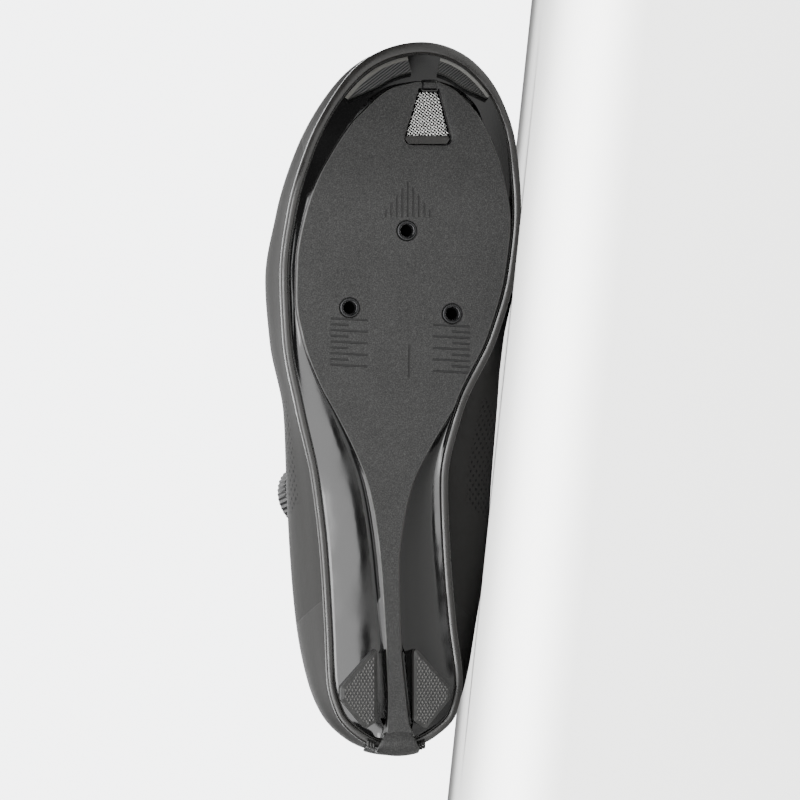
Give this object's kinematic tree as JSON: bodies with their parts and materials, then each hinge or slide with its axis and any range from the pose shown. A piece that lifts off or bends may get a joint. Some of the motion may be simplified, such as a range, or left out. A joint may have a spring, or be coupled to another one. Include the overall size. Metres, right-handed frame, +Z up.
{
  "type": "cycling shoe",
  "caption": "Right road cycling shoe with a stiff composite sole, cleat inserts, vent, rubber heel and toe pads and a lace dial, lying on its medial side.",
  "frame": {"origin": "bottom centre of the bounding box, on the floor under the lying shoe", "axes": "+X from heel to toe, +Z up from the floor to the shoe's lateral side, -Y the way the sole faces"},
  "size_m": [0.2664, 0.1018, 0.0925],
  "materials": {
    "sole_composite": "moulded nylon composite: matte grained plate, glossy channels and rim",
    "upper_synthetic": "smooth matte black synthetic leather",
    "tongue_fabric": "padded fabric",
    "insole_foam": "fabric-topped foam",
    "mesh_metal": "woven metal mesh",
    "pad_rubber": "knurled rubber",
    "heel_rubber": "diamond-knurled rubber",
    "insert_steel": "blackened steel",
    "dial_plastic": "black moulded plastic",
    "knob_plastic": "black moulded plastic with ribbed edge",
    "tab_plastic": "glossy black moulding",
    "guide_plastic": "black moulded plastic",
    "cord_steel": "nylon-coated cord"
  },
  "bodies": {
    "root": {"outsole": "sole_composite", "upper": "upper_synthetic", "tongue": "tongue_fabric", "insole": "insole_foam", "vent_mesh": "mesh_metal", "toe_pad_lateral": "pad_rubber", "toe_pad_medial": "pad_rubber", "heel_pad_lateral": "heel_rubber", "heel_pad_medial": "heel_rubber", "insert_front": "insert_steel", "insert_rear_lateral": "insert_steel", "insert_rear_medial": "insert_steel", "dial_base": "dial_plastic", "dial_knob": "knob_plastic", "heel_tab": "tab_plastic", "guide_lateral_1": "guide_plastic", "guide_lateral_2": "guide_plastic", "guide_lateral_3": "guide_plastic", "guide_medial_1": "guide_plastic", "guide_medial_2": "guide_plastic", "guide_medial_3": "guide_plastic", "guide_medial_4": "guide_plastic", "cord_bar_1": "cord_steel", "cord_bar_2": "cord_steel", "cord_bar_3": "cord_steel", "cord_bar_4": "cord_steel"}
  },
  "joints": []
}
